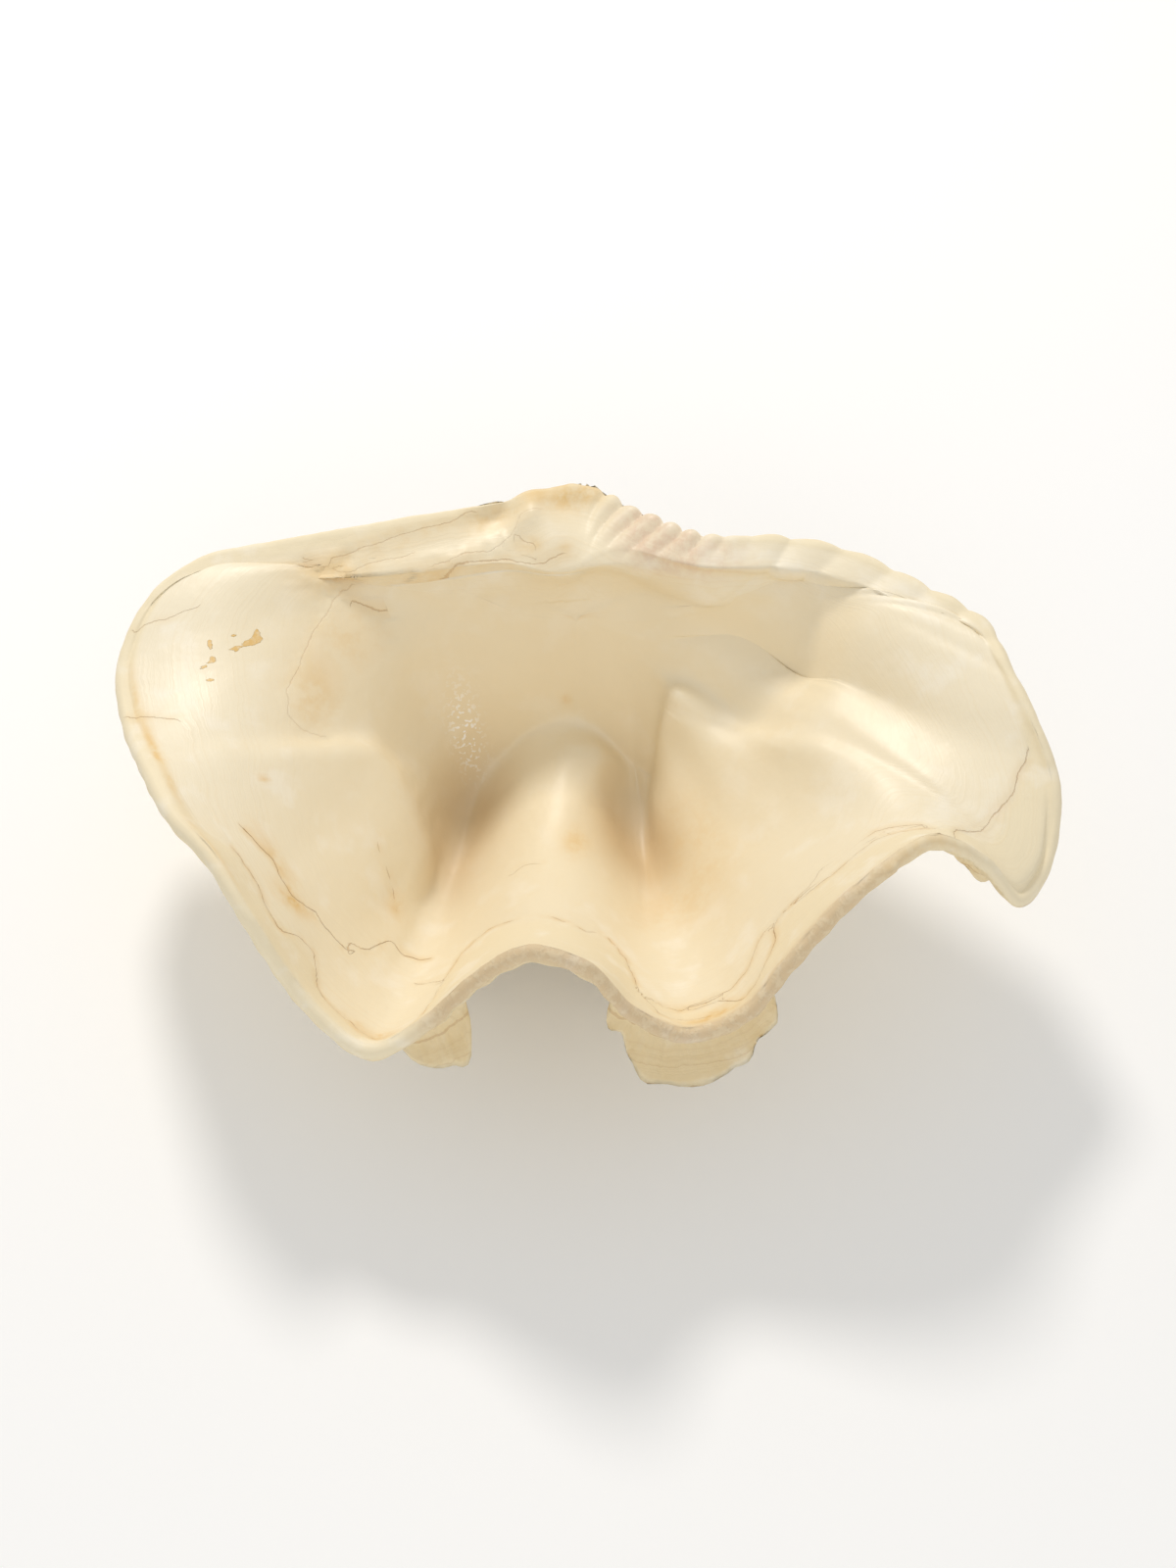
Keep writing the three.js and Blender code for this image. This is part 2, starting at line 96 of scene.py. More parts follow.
def unit(v):
    return v / np.maximum(np.linalg.norm(v, axis=-1, keepdims=True), 1e-9)


def turned(points, angle):       # about the hinge line
    angle = np.broadcast_to(angle, points.shape[:-1])
    c, s = np.cos(angle), np.sin(angle)
    return np.stack([points[..., 0], points[..., 1] * c - points[..., 2] * s,
                     points[..., 1] * s + points[..., 2] * c], -1)


def marginCurve(perSpan=24):     # centripetal curve through the stations, all columns together
    p = np.array(stations, float)
    out = []
    for i in range(len(p)):
        a, b, c, d = (p[(i + k) % len(p)] for k in (-1, 0, 1, 2))
        t1 = np.linalg.norm((b - a)[:3]) ** .5
        t2 = t1 + np.linalg.norm((c - b)[:3]) ** .5
        t3 = t2 + np.linalg.norm((d - c)[:3]) ** .5
        for t in t1 + (t2 - t1) * np.arange(perSpan) / perSpan:
            ab = a + (b - a) * t / t1
            bc = b + (c - b) * (t - t1) / (t2 - t1)
            cd = c + (d - c) * (t - t2) / (t3 - t2)
            abc, bcd = ab + (bc - ab) * t / t2, bc + (cd - bc) * (t - t1) / (t3 - t1)
            out.append(abc + (bcd - abc) * (t - t1) / (t2 - t1))
    return np.array(out)


curve = marginCurve()
steps = np.linalg.norm((np.roll(curve, -1, 0) - curve)[:, :3], axis=1)
along = np.concatenate([[0], np.cumsum(steps)])
girth = along[-1]
place = np.arange(columns) / columns * girth              # mm round the margin from the beak
closed = np.vstack([curve, curve[:1]])
margin = np.stack([np.interp(place, along, closed[:, k]) for k in range(7)], 1)
stationPlace = along[np.arange(len(stations)) * 24]

away = np.minimum(place, girth - place)                   # mm from the beak, either way
foreSide = place > girth / 2
hinge = np.where(foreSide, 1 - smoothStep(away, 85, 185), 1 - smoothStep(away, 80, 160))
front = smoothStep(away, 150, 260)                        # the folded front margin
rimHeight = growth["edgeThickness"] * (.35 + .65 * smoothStep(away, 10, 60))
edge = margin[:, :3]
lip, fall = averaged(margin[:, 3], .004), averaged(margin[:, 4], .004)
flare, fill = averaged(margin[:, 5], .012), averaged(margin[:, 6], .012)
tangent = np.roll(edge, -1, 0) - np.roll(edge, 1, 0)
inward = unit(averaged(unit(np.stack([-tangent[:, 1], tangent[:, 0], 0 * tangent[:, 0]], 1)),
                       growth["averaging"]["direction"]))
brim = edge + inward * lip[:, None]
brim[:, 2] += rimHeight - fall
smoothEdge = edge + (averaged(edge, growth["averaging"]["folds"]) - edge) * front[:, None]
softEdge = edge + (averaged(edge, growth["averaging"]["wall"]) - edge) * front[:, None]
smoothBrim = averaged(brim, growth["averaging"]["folds"])


def turnAt(s):
    return math.radians(growth["fullTurn"]) * (1 - s) * (1 - flare * s)


def grownRow(s, folds=None, soft=0):                      # the margin when the shell had size s
    folds = readTable(growth["outerFolds"], s) if folds is None else folds
    loop = smoothEdge * (1 - folds) + (edge * (1 - soft) + softEdge * soft) * folds
    return turned(loop * s, turnAt(s))


def grownFrame(s, folds=None):                            # towards the margin, out of the shell
    toMargin = unit(grownRow(s + .003, folds) - grownRow(s - .003, folds))
    row = grownRow(s, folds)
    return toMargin, unit(np.cross(np.roll(row, -1, 0) - np.roll(row, 1, 0), toMargin))


def cavityRow(s):
    folds = readTable(growth["outerFolds"], s) * smoothStep(s, *growth["cavityFolds"])
    base = grownRow(s, folds, 1 - smoothStep(s, .86, 1))
    out = unit(averaged(grownFrame(s, folds)[1], .01))
    thick = readTable(growth["wall"], s) \
        + fill * (1 - smoothStep(s, .78, 1)) * (.35 + .65 * smoothStep(s, .35, .62))
    plate = np.maximum(thick, np.hypot(lip, fall - rimHeight) * (.4 + .6 * s))
    wall = base - out * (thick + (plate - thick) * hinge)[:, None]
    fromBrim = base + turned(brim - edge, turnAt(s))
    nearBrim = smoothStep(s, (.965 - .165 * hinge)[:, None], 1)
    wall = wall + (fromBrim - wall) * nearBrim
    bowl = turned(smoothBrim * s, turnAt(s) * growth["cavityTurn"]) \
        + np.array(growth["cavityApex"]) * (1 - s) ** 2
    return bowl + (wall - bowl) * smoothStep(s, .1 + .15 * hinge, .42 + .36 * hinge)[:, None]


# the wall below the byssal side is tucked in, so that the margin overhangs it
tuck = {"depth": 13, "along": (-34, -12, 45, 80), "below": 8, "behind": (14, 40)}


def tucked(p):
    x, y, z = p[..., 0], p[..., 1], p[..., 2]
    amount = tuck["depth"] * smoothStep(x, *tuck["along"][:2]) * (1 - smoothStep(x, *tuck["along"][2:])) \
        * smoothStep(-z, 0, tuck["below"]) * (1 - smoothStep(-y, *tuck["behind"]))
    return np.stack([x, y - amount, z], -1)


# back wall of the cavity, under the hinge plate: x, y at the top, lean of its upper and lower part
backWall = [(-125, -36, .3, .6), (-84, -39, .35, .6), (-55, -34, .35, .5), (-23, -28, .35, .45),
            (-3, -27, .3, .45), (20, -27, .2, .6), (44, -38, .2, .8), (71, -38.5, .2, .8),
            (94, -42, .3, .8), (125, -55, .3, .8)]

# Brows: where the folds end towards the beak, higher than the plain fold and steep on one side.
# Hollows are the same, but sink. How far each fades behind its edge, from where to where it is evened,
# which way it grew, then x, y and height along the edge.
brows = [
    (34, (-26, -9), (.5, 0, .86), [(-118, -107, 3), (-93, -92, 8), (-79, -84, 11), (-68, -88, 12),
                                   (-62, -98, 12),
                            (-55, -110, 12), (-58, -124, 9), (-62, -140, 2)]),
    (22, (-18, -9), (.3, .2, .93), [(-21, -73, 2), (-7, -63, 6), (5, -64, 8), (17, -71, 9), (10, -79, 7),
                                    (4, -88, 2)]),
    (28, (-24, -7), (-.4, 0, .92), [(25, -112, 4), (26, -98, 9), (25, -83, 12), (29, -65, 13),
                                    (34, -55, 14), (50, -62, 18), (64, -79, 15), (79, -92, 3)]),
    (12, (0, -10), (.2, 0, .98), [(44, -160, 0), (33, -140, -2), (22, -118, -4), (10, -98, -6),
                                  (4, -88, -5), (12, -78, -2),
                           (20, -70, 0)]),
    (29, (-30, 6), (0, 0, 1), [(104, -44, -2), (94, -56, -14), (84, -70, -24), (74, -82, -20),
                               (66, -92, -4)]),
    (16, (-12, 8), (0, 0, 1), [(-34, -100, 0), (-48, -98, -6), (-57, -91, -9), (-60, -80, -8),
                               (-54, -70, -2)]),
]


def fromLine(px, py, line, stretch=1):                    # signed distance from a broken line, and where along it
    near, sign, spot = np.full(px.shape, 1e3), np.ones(px.shape), np.zeros(px.shape)
    for k, ((ax, ay, *_), (bx, by, *_)) in enumerate(zip(line[:-1], line[1:])):
        ax, bx = (ax - px) * stretch, (bx - px) * stretch
        dx, dy, wx, wy = bx - ax, by - ay, -ax, py - ay
        share = np.clip((wx * dx + wy * dy) / (dx * dx + dy * dy + 1e-9), 0, 1)
        gap = np.hypot(wx - share * dx, wy - share * dy)
        sign = np.where(gap < near, np.where(dx * wy - dy * wx > 0, 1, -1), sign)
        spot = np.where(gap < near, k + share, spot)
        near = np.minimum(near, gap)
    return near * sign, spot


def backed(p):
    x, y, z = p[..., 0], p[..., 1], p[..., 2]
    top, upper, lower = (np.interp(x, [row[0] for row in backWall],
                                   [row[k] for row in backWall]) for k in (1, 2, 3))
    depth = np.maximum(0, -z - 3)
    limit = top - upper * np.minimum(depth, 20) - lower * np.maximum(depth - 20, 0)
    over = (y - limit) / 2.5
    pushed = y - 2.5 * np.where(over > 20, over, np.log1p(np.exp(np.minimum(over, 20))))
    amount = smoothStep(-z, 2, 9) * smoothStep(x, -150, -120) * (1 - smoothStep(x, 110, 140))
    return np.stack([x, y + (pushed - y) * amount, z], -1)


def normalsOf(points):
    aside = np.roll(points, -1, 1) - np.roll(points, 1, 1)
    return unit(np.cross(aside, np.gradient(points, axis=0)))


def browed(points):
    raised, calm = points.copy(), np.zeros(points.shape[:2])
    for fade, evened, direction, line in brows:
        gap, spot = fromLine(points[..., 0], points[..., 1], line)
        height = np.interp(spot, range(len(line)), [row[2] for row in line])
        rise = height * smoothStep(-gap, -2, 7) * np.exp(-(np.minimum(gap, 0) / fade) ** 2)
        raised += averaged(rise.T, .002).T[..., None] * np.array(direction)
        far, near = evened
        calm = np.maximum(calm, smoothStep(gap, far - 10, far) * (1 - smoothStep(gap, near - 6, near)))
    return raised, calm


def nearWall(points):
    return (1 - smoothStep(-points[..., 1], 46, 62)) * (1 - smoothStep(-points[..., 2], 55, 75))


def relaxed(points, weight, rounds):                      # evens out a grid of points where the weight is 1
    for _ in range(rounds):
        mean = (np.roll(points, 1, 1) + np.roll(points, -1, 1)) / 4
        mean[1:-1] += (points[2:] + points[:-2]) / 4
        mean[[0, -1]] *= 2
        points = points + (mean - points) * .7 * weight[..., None]
    return points


print("margin ready,", round(girth), "mm round")

# ---------- random wander: smooth noise on a seeded lattice

lattice = np.random.default_rng(41).uniform(-1, 1, (64, 64, 64))


def wander(x, y, z=0, octaves=2):
    total, weight = 0, 1
    x, y, z = np.broadcast_arrays(np.asarray(x, float), np.asarray(y, float), np.asarray(z, float))
    for octave in range(octaves):
        q = [v * 2 ** octave + 17.3 * octave for v in (x, y, z)]
        cell = [np.floor(v).astype(int) for v in q]
        f = [smoothStep(v - c, 0, 1) for v, c in zip(q, cell)]
        value = 0
        for dx in (0, 1):
            for dy in (0, 1):
                for dz in (0, 1):
                    w = (f[0] if dx else 1 - f[0]) * (f[1] if dy else 1 - f[1]) * (f[2] if dz else 1 - f[2])
                    value = value + w * lattice[(cell[0] + dx) % 64, (cell[1] + dy) % 64,
                                                (cell[2] + dz) % 64]
        total, weight = total + value * weight, weight * .5
    return total


# ---------- scutes: thin leaves that stand on the ribs

scutes = {
    "sizes": (.41, .54, .67, .80, .93),
    "stand": .85, "lean": .5,    # off the rib and towards the margin, for each mm of reach
    "worn": [(.41, .38), (.54, .40), (.67, .45), (.80, .65), (.93, 1)],   # what is left of the reach
    # station of the crest, half width, reach in mm, and how pointed the leaf is
    "ribs": [(6, 30, 14, .5), (13.88, 16, 21, .9), (18.05, 5, 17, .6), (19.3, 29, 26, .65),
             (26, 22, 4, .5)],
    # how far up the leaf, and how far from its size, front and back in turn
    "section": [(0, -.013), (.35, -.0085), (.7, -.006), (.95, -.0045), (1, -.002), (.9, 0), (.6, .002),
                (.3, .005), (0, .009)],
}


def scuteReach(size, row):
    reach = np.zeros(columns)
    for rib, (station, halfWidth, length, point) in enumerate(scutes["ribs"]):
        crest = np.interp(station, range(len(stations)), stationPlace) + 3 * wander(row * 3.1, rib * 5.7)
        share = np.abs(place - crest) / halfWidth / (1 + .12 * wander(row * 2.3, rib * 3.3, 4))
        leaf = length * np.maximum(0, 1 - share ** 2) ** point * (1 + .15 * wander(row * 4.1, rib * 1.7, 9))
        reach = np.maximum(reach, leaf)
    ragged = 1 + .16 * wander(place / 9, row * 3, 2, 3)
    return averaged(reach, .003) * ragged * readTable(scutes["worn"], size)


def scuteRows(size, number):
    toMargin, out = grownFrame(size)
    reach = scuteReach(size, number)[:, None]
    rows = []
    for up, shift in scutes["section"]:
        leaf = up * scutes["stand"] * out + up ** 2 * scutes["lean"] * toMargin
        rows.append(grownRow(size + shift) + reach * leaf)
    return rows


# ---------- rows of the mesh, from the beak over the outside, round the edge and into the cavity

rows, age, side = [], [], []     # side: 0 outside, 1 edge and plate, 2 cavity


def addRow(row, s, where):
    rows.append(row)
    age.append(s)
    side.append(where)


outerSizes = np.concatenate([np.linspace(.04, .36, 10), np.linspace(.38, .9, 26), np.linspace(.91, 1, 14)])
plan = [(s, None) for s in outerSizes if min(abs(s - q) for q in scutes["sizes"]) > .014]
plan += [(s, k) for k, s in enumerate(scutes["sizes"])]
for s, number in sorted(plan, key=lambda item: item[0]):
    if number is None:
        addRow(grownRow(s), s, 0)
    else:
        for row in scuteRows(s, number):
            addRow(row, s, 0)
up = np.array([0, 0, 1.])
for angle in np.radians([22, 45, 68]):
    addRow(edge + inward * rimHeight[:, None] * .55 * (1 - math.cos(angle))
           + up * rimHeight[:, None] * .96 * math.sin(angle), 1, 1)
top = edge + inward * rimHeight[:, None] * .6 + up * rimHeight[:, None]
for share in np.linspace(0, 1, 10):
    addRow(top * (1 - share) + brim * share, 1, 1)
cavitySizes = np.concatenate([np.linspace(.994, .90, 18), np.linspace(.885, .5, 28),
                              np.linspace(.48, .03, 22)])
for s in cavitySizes:
    addRow(cavityRow(s), s, 2)

fineArcs = (place < 60) | (place > girth - 90)            # the hinge and the byssal folds
kept = np.flatnonzero(fineArcs | (np.arange(columns) % 2 == 0))
age, side = np.array(age), np.array(side)
points = tucked(np.array(rows)[:, kept])
raised, calm = browed(backed(points))
cavity, deep = side[:, None] == 2, np.interp(age, [.9, .97], [1, 0])[:, None] * (side[:, None] == 2)
points = np.where(cavity[..., None], raised, points)
points = relaxed(points, deep * np.maximum(calm, nearWall(points)), 26)
points = relaxed(points, deep, 3)
print("rows", len(rows), "columns", len(kept), "triangles", 2 * len(rows) * len(kept))

# distance down each column from the top of the edge: positive inside, negative outside
down = np.concatenate([np.zeros((1, len(kept))),
                       np.cumsum(np.linalg.norm(np.diff(points, axis=0), axis=2), 0)])
topRow = np.flatnonzero(side == 1)[3]
fromEdge = down - down[topRow]
around = np.broadcast_to(place[kept], fromEdge.shape)

# ---------- relief: what growth, wear and breaks add to the smooth form, in mm along the normal

x, y, z = points[..., 0], points[..., 1], points[..., 2]
fore = girth - around                                     # mm round the margin from the beak, the fore way
upper = (side[:, None] >= 1) & (fromEdge > -4)
normal = normalsOf(points)
aside = np.roll(points, -1, 1) - np.roll(points, 1, 1)
spread = np.linalg.norm(aside, axis=2) / ((np.roll(around, -1, 1) - np.roll(around, 1, 1)) % girth)

pleats = {"pitch": 8, "height": 2.2, "slant": .45,
          "reach": [(0, 12), (10, 24), (30, 20), (44, 11), (60, 8)]}
scallops = {"pitch": 17, "height": 1.5, "slant": .5}
# bumps on the hinge plate: x, y, half sizes, turn, height
teeth = [(-19, -12, 8, 5.5, .6, 3.6), (-13, -21, 12, 8.5, -.6, 3.6), (-33, -15.5, 10, 4, .35, -3.2),
         (-24, -4, 9, 5, .2, 1.6), (-4, -5, 7, 6, 0, 1.1)]
toothRidge = [(-20, -13), (-27, -20.5), (-34, -25.5), (-45, -29.5), (-54, -32), (-68, -35.5)]

# Open edges of growth layers, and cracks. Depth of the groove, step down on the left of the line,
# how strongly it is inked, then its points: mm round the margin from the beak and mm in from its top.
layerEdges = [
    (.5, .6, 1, [(298, 19), (305, 20.5), (313, 21), (321, 17.3), (330, 18), (334, 26), (342, 28),
                 (349, 22), (359, 13), (368, 10.5), (376, 12.4), (386, 11), (398, 6), (405, 8), (411, 16),
                 (412, 28), (416, 46), (422, 64), (435, 75), (450, 76), (464, 80), (471, 76), (481, 71),
                 (489, 74), (496, 69), (504, 60), (513, 33), (525, 27), (536, 24), (541, 27), (552, 28),
                 (561, 26), (571, 28), (579, 34), (588, 41), (597, 41)]),
    (.4, .4, 1, [(535, 23), (554, 22), (561, 13), (569, 12.5), (578, 17.5), (588, 27), (592, 36),
                 (599, 42), (605, 38), (615, 36), (626, 34.5), (641, 34), (650, 26), (662, 20)]),
    (.3, .2, .7, [(599, 41), (611, 40.5), (622, 45), (645, 39), (660, 25)]),
    (.3, .2, .8, [(509, 36), (513, 30), (523, 15.5), (534, 14.5), (545, 13)]),
    (.5, -.5, .6, [(648, 2), (660, 8), (670, 14.4), (687, 20.6), (704, 28), (716, 28), (727, 23),
                   (735, 17.7),
                  (746, 14.6), (761, 8.5)]),
]
cracks = [
    (.25, 0, 1, [(290, 31), (304, 38), (319, 37.5), (328, 44.5), (342, 45), (351, 45.5), (349, 51),
                 (357, 52), (361, 61), (366, 68), (374, 69), (383, 70.5), (399, 71)]),
    (.2, 0, .5, [(321, 96), (336, 93), (349, 89), (357, 84)]),
    (.2, 0, .8, [(397, 53), (406, 51), (417, 46)]),
    (.15, 0, .5, [(445, 111), (453, 116), (460, 117)]),
    (.2, 0, .6, [(219, 0), (227, 7.5), (236, 18)]),
    (.15, 0, .5, [(181, 1), (181, 13), (178, 23)]),
]
# the same on the hinge plate and in the hind wing, by x and y
plateEdges = [
    (.4, -.6, .6, [(-84, -45), (-76, -45.5), (-68, -44), (-61, -41), (-54, -37.5), (-48, -34.5),
                   (-42, -32.5), (-35, -31.5),
                    (-27, -30), (-20, -31), (-14, -31.5), (-7, -28)]),
    (.5, -.5, .4, [(-100, -34.5), (-92, -34.5), (-79, -29), (-70, -26), (-60, -22.5), (-48, -18.2),
                   (-40, -14.5)]),
    (.25, -.9, .3, [(-84, -41), (-90, -46), (-96, -57), (-101, -69), (-105, -81), (-104, -90), (-99, -93),
                    (-92, -92)]),
    (.2, .4, .3, [(-100, -38), (-96, -37), (-92, -36.5), (-88, -38), (-84, -38), (-78, -35.5), (-72, -33),
                  (-63, -31)]),
    (.1, -2, .3, [(-16.6, -12.6), (-23.1, -14.0), (-26.1, -21.9), (-29.6, -24.8), (-34.0, -27.9),
                  (-43.5, -30.0), (-53.5, -33.9)]),
    (.2, 0, .45, [(-24, -22), (-21.5, -24.5), (-18, -25.5)]),
]


def bump(px, py, halfX, halfY, turn=0):
    a, b = px * math.cos(turn) + py * math.sin(turn), py * math.cos(turn) - px * math.sin(turn)
    return np.exp(-(a / halfX) ** 2 - (b / halfY) ** 2)


relief = np.zeros(fromEdge.shape)
seamSide, seamNear, seamInk = np.full(relief.shape, 50.), np.full(relief.shape, 50.), np.zeros(relief.shape)
shakeU, shakeD = wander(x / 6, y / 6, z / 6), wander(x / 6 + 30, y / 6, z / 6)
inShell = side[:, None] > 0
onPlate = inShell & (z > -27) & (y > -110) & ((side[:, None] == 1) | (x < -70) | (z > -9))
for group, coordinates, where, shake in ((layerEdges, "edge", inShell, .9), (cracks, "edge", inShell, .9),
                                         (plateEdges, "plan", onPlate, .7)):
    for depth, step, ink, line in group:
        if coordinates == "edge":
            gap, _ = fromLine(around + shake * shakeU, fromEdge + shake * shakeD, line, spread)
        else:
            gap, _ = fromLine(x + shake * shakeU, y + shake * shakeD, line)
        gap = np.where(where, gap, 50)
        relief -= .35 * depth * np.exp(-(gap / .9) ** 2)
        relief -= abs(step) * np.exp(-np.abs(gap) / 8) * smoothStep(gap * np.sign(step or 1), -.3, .8)
        closer = np.abs(gap) < seamNear
        seamInk = np.where(closer, ink, seamInk)
        seamSide = np.where(closer, gap, seamSide)
        seamNear = np.minimum(seamNear, np.abs(gap))

# glossy folds where the byssus passed, and weaker ones along the fore wing
wave = (fore + pleats["slant"] * np.maximum(fromEdge, 0)) / pleats["pitch"] \
    + .3 * wander(fore / 18, 3.5, 0, 1)
reach = readTable(pleats["reach"], fore)
fold = np.abs(np.sin(math.pi * wave)) ** .7 - .6
relief += pleats["height"] * fold * smoothStep(fore, 2, 9) * (1 - smoothStep(fore, 48, 62)) \
    * (1 - smoothStep(fromEdge, .3 * reach, reach)) * smoothStep(fromEdge, -12, -2)
wave = (fore + scallops["slant"] * np.maximum(fromEdge, 0)) / scallops["pitch"] \
    + .4 * wander(fore / 40, 9.5, 0, 1)
relief += scallops["height"] * (np.abs(np.sin(math.pi * wave)) ** .8 - .6) * smoothStep(fore, 58, 78) \
    * (1 - smoothStep(fore, 165, 190)) * (1 - smoothStep(fromEdge, 8, 42)) * smoothStep(fromEdge, -12, -2)

# hinge teeth and the smooth ridge that runs back from them
for tx, ty, halfX, halfY, turn, height in teeth:
    relief += height * bump(x - tx, y - ty, halfX, halfY, turn) * (upper & (z > -25)) \
        * smoothStep(fromEdge, -3, 0)
ridge = np.abs(fromLine(x, y, toothRidge)[0])
relief += np.where(upper & (z > -25), 1.9 * np.exp(-(ridge / 3) ** 2) * smoothStep(x, -72, -50), 0)
hingeEnd = bump(x + 90, y + 37, 16, 8, .25) * (upper & (z > -25))
relief += 1.1 * hingeEnd * wander(x / 5, y / 3.5, z / 5)

# the broken, crumbly edge and the lumpy, chalky beak
rimBand = np.exp(-(fromEdge / 5) ** 2)
crumbly = smoothStep(around, 398, 425) * (1 - smoothStep(around, 600, 655))
rough = wander(x / 3.4, y / 3.4, z / 3.4, 2)
relief += rimBand * (.3 * wander(x / 9, y / 9, z / 9, 2) + .16 * rough)
relief += crumbly * np.exp(-((fromEdge + 3) / 4.5) ** 2) * (.05 + .2 * rough)
relief += 1.8 * bump(around - 627, fromEdge + 3, 1.7, 1.7)             # a spur of broken shell
beakLump = bump(x + 9, y + 3, 20, 8, .15) * smoothStep(z, -12, -2) * smoothStep(-fromEdge, -7, 1)
relief += beakLump * (1 + .4 * wander(x / 4.5, y / 4.5, z / 4.5))

# outside: fine ribs that fan out from the beak, growth lines, and wear
outside = (side[:, None] == 0) & (fromEdge < -2)
ribs = np.cos(2 * math.pi * around / 12 + 1.5 * wander(around / 40, age[:, None] * 6))
relief += np.where(outside, smoothStep(-fromEdge, 2, 10) * smoothStep(age[:, None], .15, .35)
                   * (.4 * ribs + .5 * wander(x / 16, y / 16, z / 16)
                      + .3 * wander(age[:, None] * 45, around / 60)), 0)
relief += np.where(side[:, None] == 2, .35 * wander(x / 26, y / 26, z / 26)
                   * smoothStep(age[:, None], .1, .3), 0)
points = points + normal * relief[..., None]
print("relief from", relief.min().round(1), "to", relief.max().round(1), "mm")

# ---------- paint masks: how chalky, how warm in tone, how stained each place is, and where shade and highlights are painted

# inner border of the chalky lip: mm round the margin, mm in from its top
lipWidth = [(0, 4), (60, 5), (150, 5), (200, 6), (240, 7), (290, 9), (300, 18), (321, 17), (334, 25),
            (349, 21), (359, 13), (376, 11), (395, 7), (405, 8), (412, 26), (422, 60), (435, 73), (464, 76),
            (481, 69), (504, 58), (513, 33), (525, 27), (536, 24), (561, 14), (578, 18), (592, 34),
            (605, 36), (626, 33), (649, 24), (662, 18), (690, 18), (716, 26), (735, 17), (760, 8), (800, 3),
            (880, 2), (960, 3)]
# stains: mm round, mm in, half sizes, turn, strength
edgeStains = [(319, 36, 9, 5, .5, .9), (386, 13, 9, 4, 0, .9), (304, 40, 14, 4, .2, .5),
              (547, 11, 11, 6, 0, .9), (357, 84, 7, 5, 0, .45), (552, 92, 26, 12, 0, .35),
              (582, 108, 14, 25, 0, .35), (474, 131, 5, 8, 0, .6), (272, 47, 2, 1.5, 0, .7),
              (248, 6, 24, 2.2, 0, .8), (216, 5, 16, 2, 0, .5), (538, 25, 6, 4, 0, .8),
              (300, 3, 16, 3, 0, .35), (640, -2, 26, 3, 0, .45), (464, 196, 2, 2, 0, .5)]
plateStains = [(-4, -6, 11, 5, .2, .9), (-17, -7, 8, 3, .3, .7), (-90, -38, 15, 7, .25, .5),
               (-33, -16, 11, 4.5, .35, .6), (-20, -26, 5, 3, 0, .5), (-96, -78, 8, 16, -.2, .45),
               (-84, -55, 12, 9, .3, .4), (-60, -38, 14, 4, .3, .35), (-6, -27, 3, 2, 0, .5),
               (-70, -27, 26, 4, .33, .3)]
# crisp flakes of brown skin in the hind wing: mm round, mm in, half sizes
flecks = [(213, 30.5, 1.5, 2.7), (211, 35, 1.7, 1.5), (202, 34, 2.7, 1.2), (200.4, 43.5, 1.4, 1.6),
          (209, 42, 1.6, 2.4), (207, 49, 1.9, 4.4), (202, 52, 2.9, 1.5), (221.4, 32.6, 1, 1)]
# painted highlights, white specks of sparkle on the glaze, which is also glossier there: x, y, half sizes
glints = [(-45, -63, 5, 8)]

chalk = np.where(inShell, 1 - smoothStep(fromEdge - readTable(lipWidth, around), -1.2, 1.2), 1)
chalk = np.maximum(chalk, np.minimum(1, 1.5 * beakLump + .7 * hingeEnd))
strongPleats = smoothStep(x, 3, 22) * (1 - smoothStep(fore, 40, 75)) * inShell \
    * smoothStep(fromEdge, -3, 0) * (1 - smoothStep(fromEdge, 10, 26))
chalk = chalk * (1 - .9 * strongPleats)
stain = np.zeros(relief.shape)
for u, d, halfU, halfD, turn, strength in edgeStains:
    stain = np.maximum(stain, strength * bump((around - u) * spread, fromEdge - d, halfU, halfD, turn)
                       * inShell)
for px, py, halfX, halfY, turn, strength in plateStains:
    stain = np.maximum(stain, strength * bump(x - px, y - py, halfX, halfY, turn) * onPlate)
fleck = sum(bump((around - u) * spread, fromEdge - d, a, b) for u, d, a, b in flecks) * inShell
glint = sum(bump(x - px, y - py, a, b, .3) for px, py, a, b in glints) * (side[:, None] == 2)
pallial = bump(x + 78, y + 68, 30, 34) * inShell
warm = np.where(inShell, 1 - smoothStep(age[:, None], .62, .93), .55)
warm = np.maximum(warm * (fromEdge > 25), .9 * pallial)
warm = np.maximum(warm, np.where(onPlate, .75 * hinge[kept] * (1 - smoothStep(x, -8, 45)), 0))
# painted shade: darker where the hollows of the channels get little light; x, y, half sizes
shadedHollows = [(-42, -86, 14, 20), (-50, -110, 10, 22), (12, -100, 12, 22), (28, -112, 10, 20)]
paintedShade = np.minimum(1, sum(bump(x - px, y - py, a, b) for px, py, a, b in shadedHollows)) \
    * (side[:, None] == 2)
masks = {"deep": paintedShade, "chalk": chalk, "stain": stain, "fleck": fleck, "glint": glint, "warm": warm,
         "pink": strongPleats, "seamSide": seamSide, "seamNear": seamNear, "seamInk": seamInk,
         "lipLine": fromEdge, "around": around,
         "age": np.broadcast_to(age[:, None], relief.shape), "inside": inShell * np.ones(relief.shape),
         "crumbly": crumbly * np.exp(-((fromEdge + 2) / 6) ** 2)}

# ---------- lay it down and build the mesh


def laid(points):                # shell frame in millimetres to the part's frame in metres
    lean, roll = math.radians(rest["lean"]), math.radians(rest["roll"])
    p = np.asarray(points, float) - np.array(rest["origin"])
    p = turned(p, lean)
    x = p[..., 0] * math.cos(roll) + p[..., 2] * math.sin(roll)
    z = -p[..., 0] * math.sin(roll) + p[..., 2] * math.cos(roll)
    return np.stack([x, p[..., 1], z], -1) / 1000


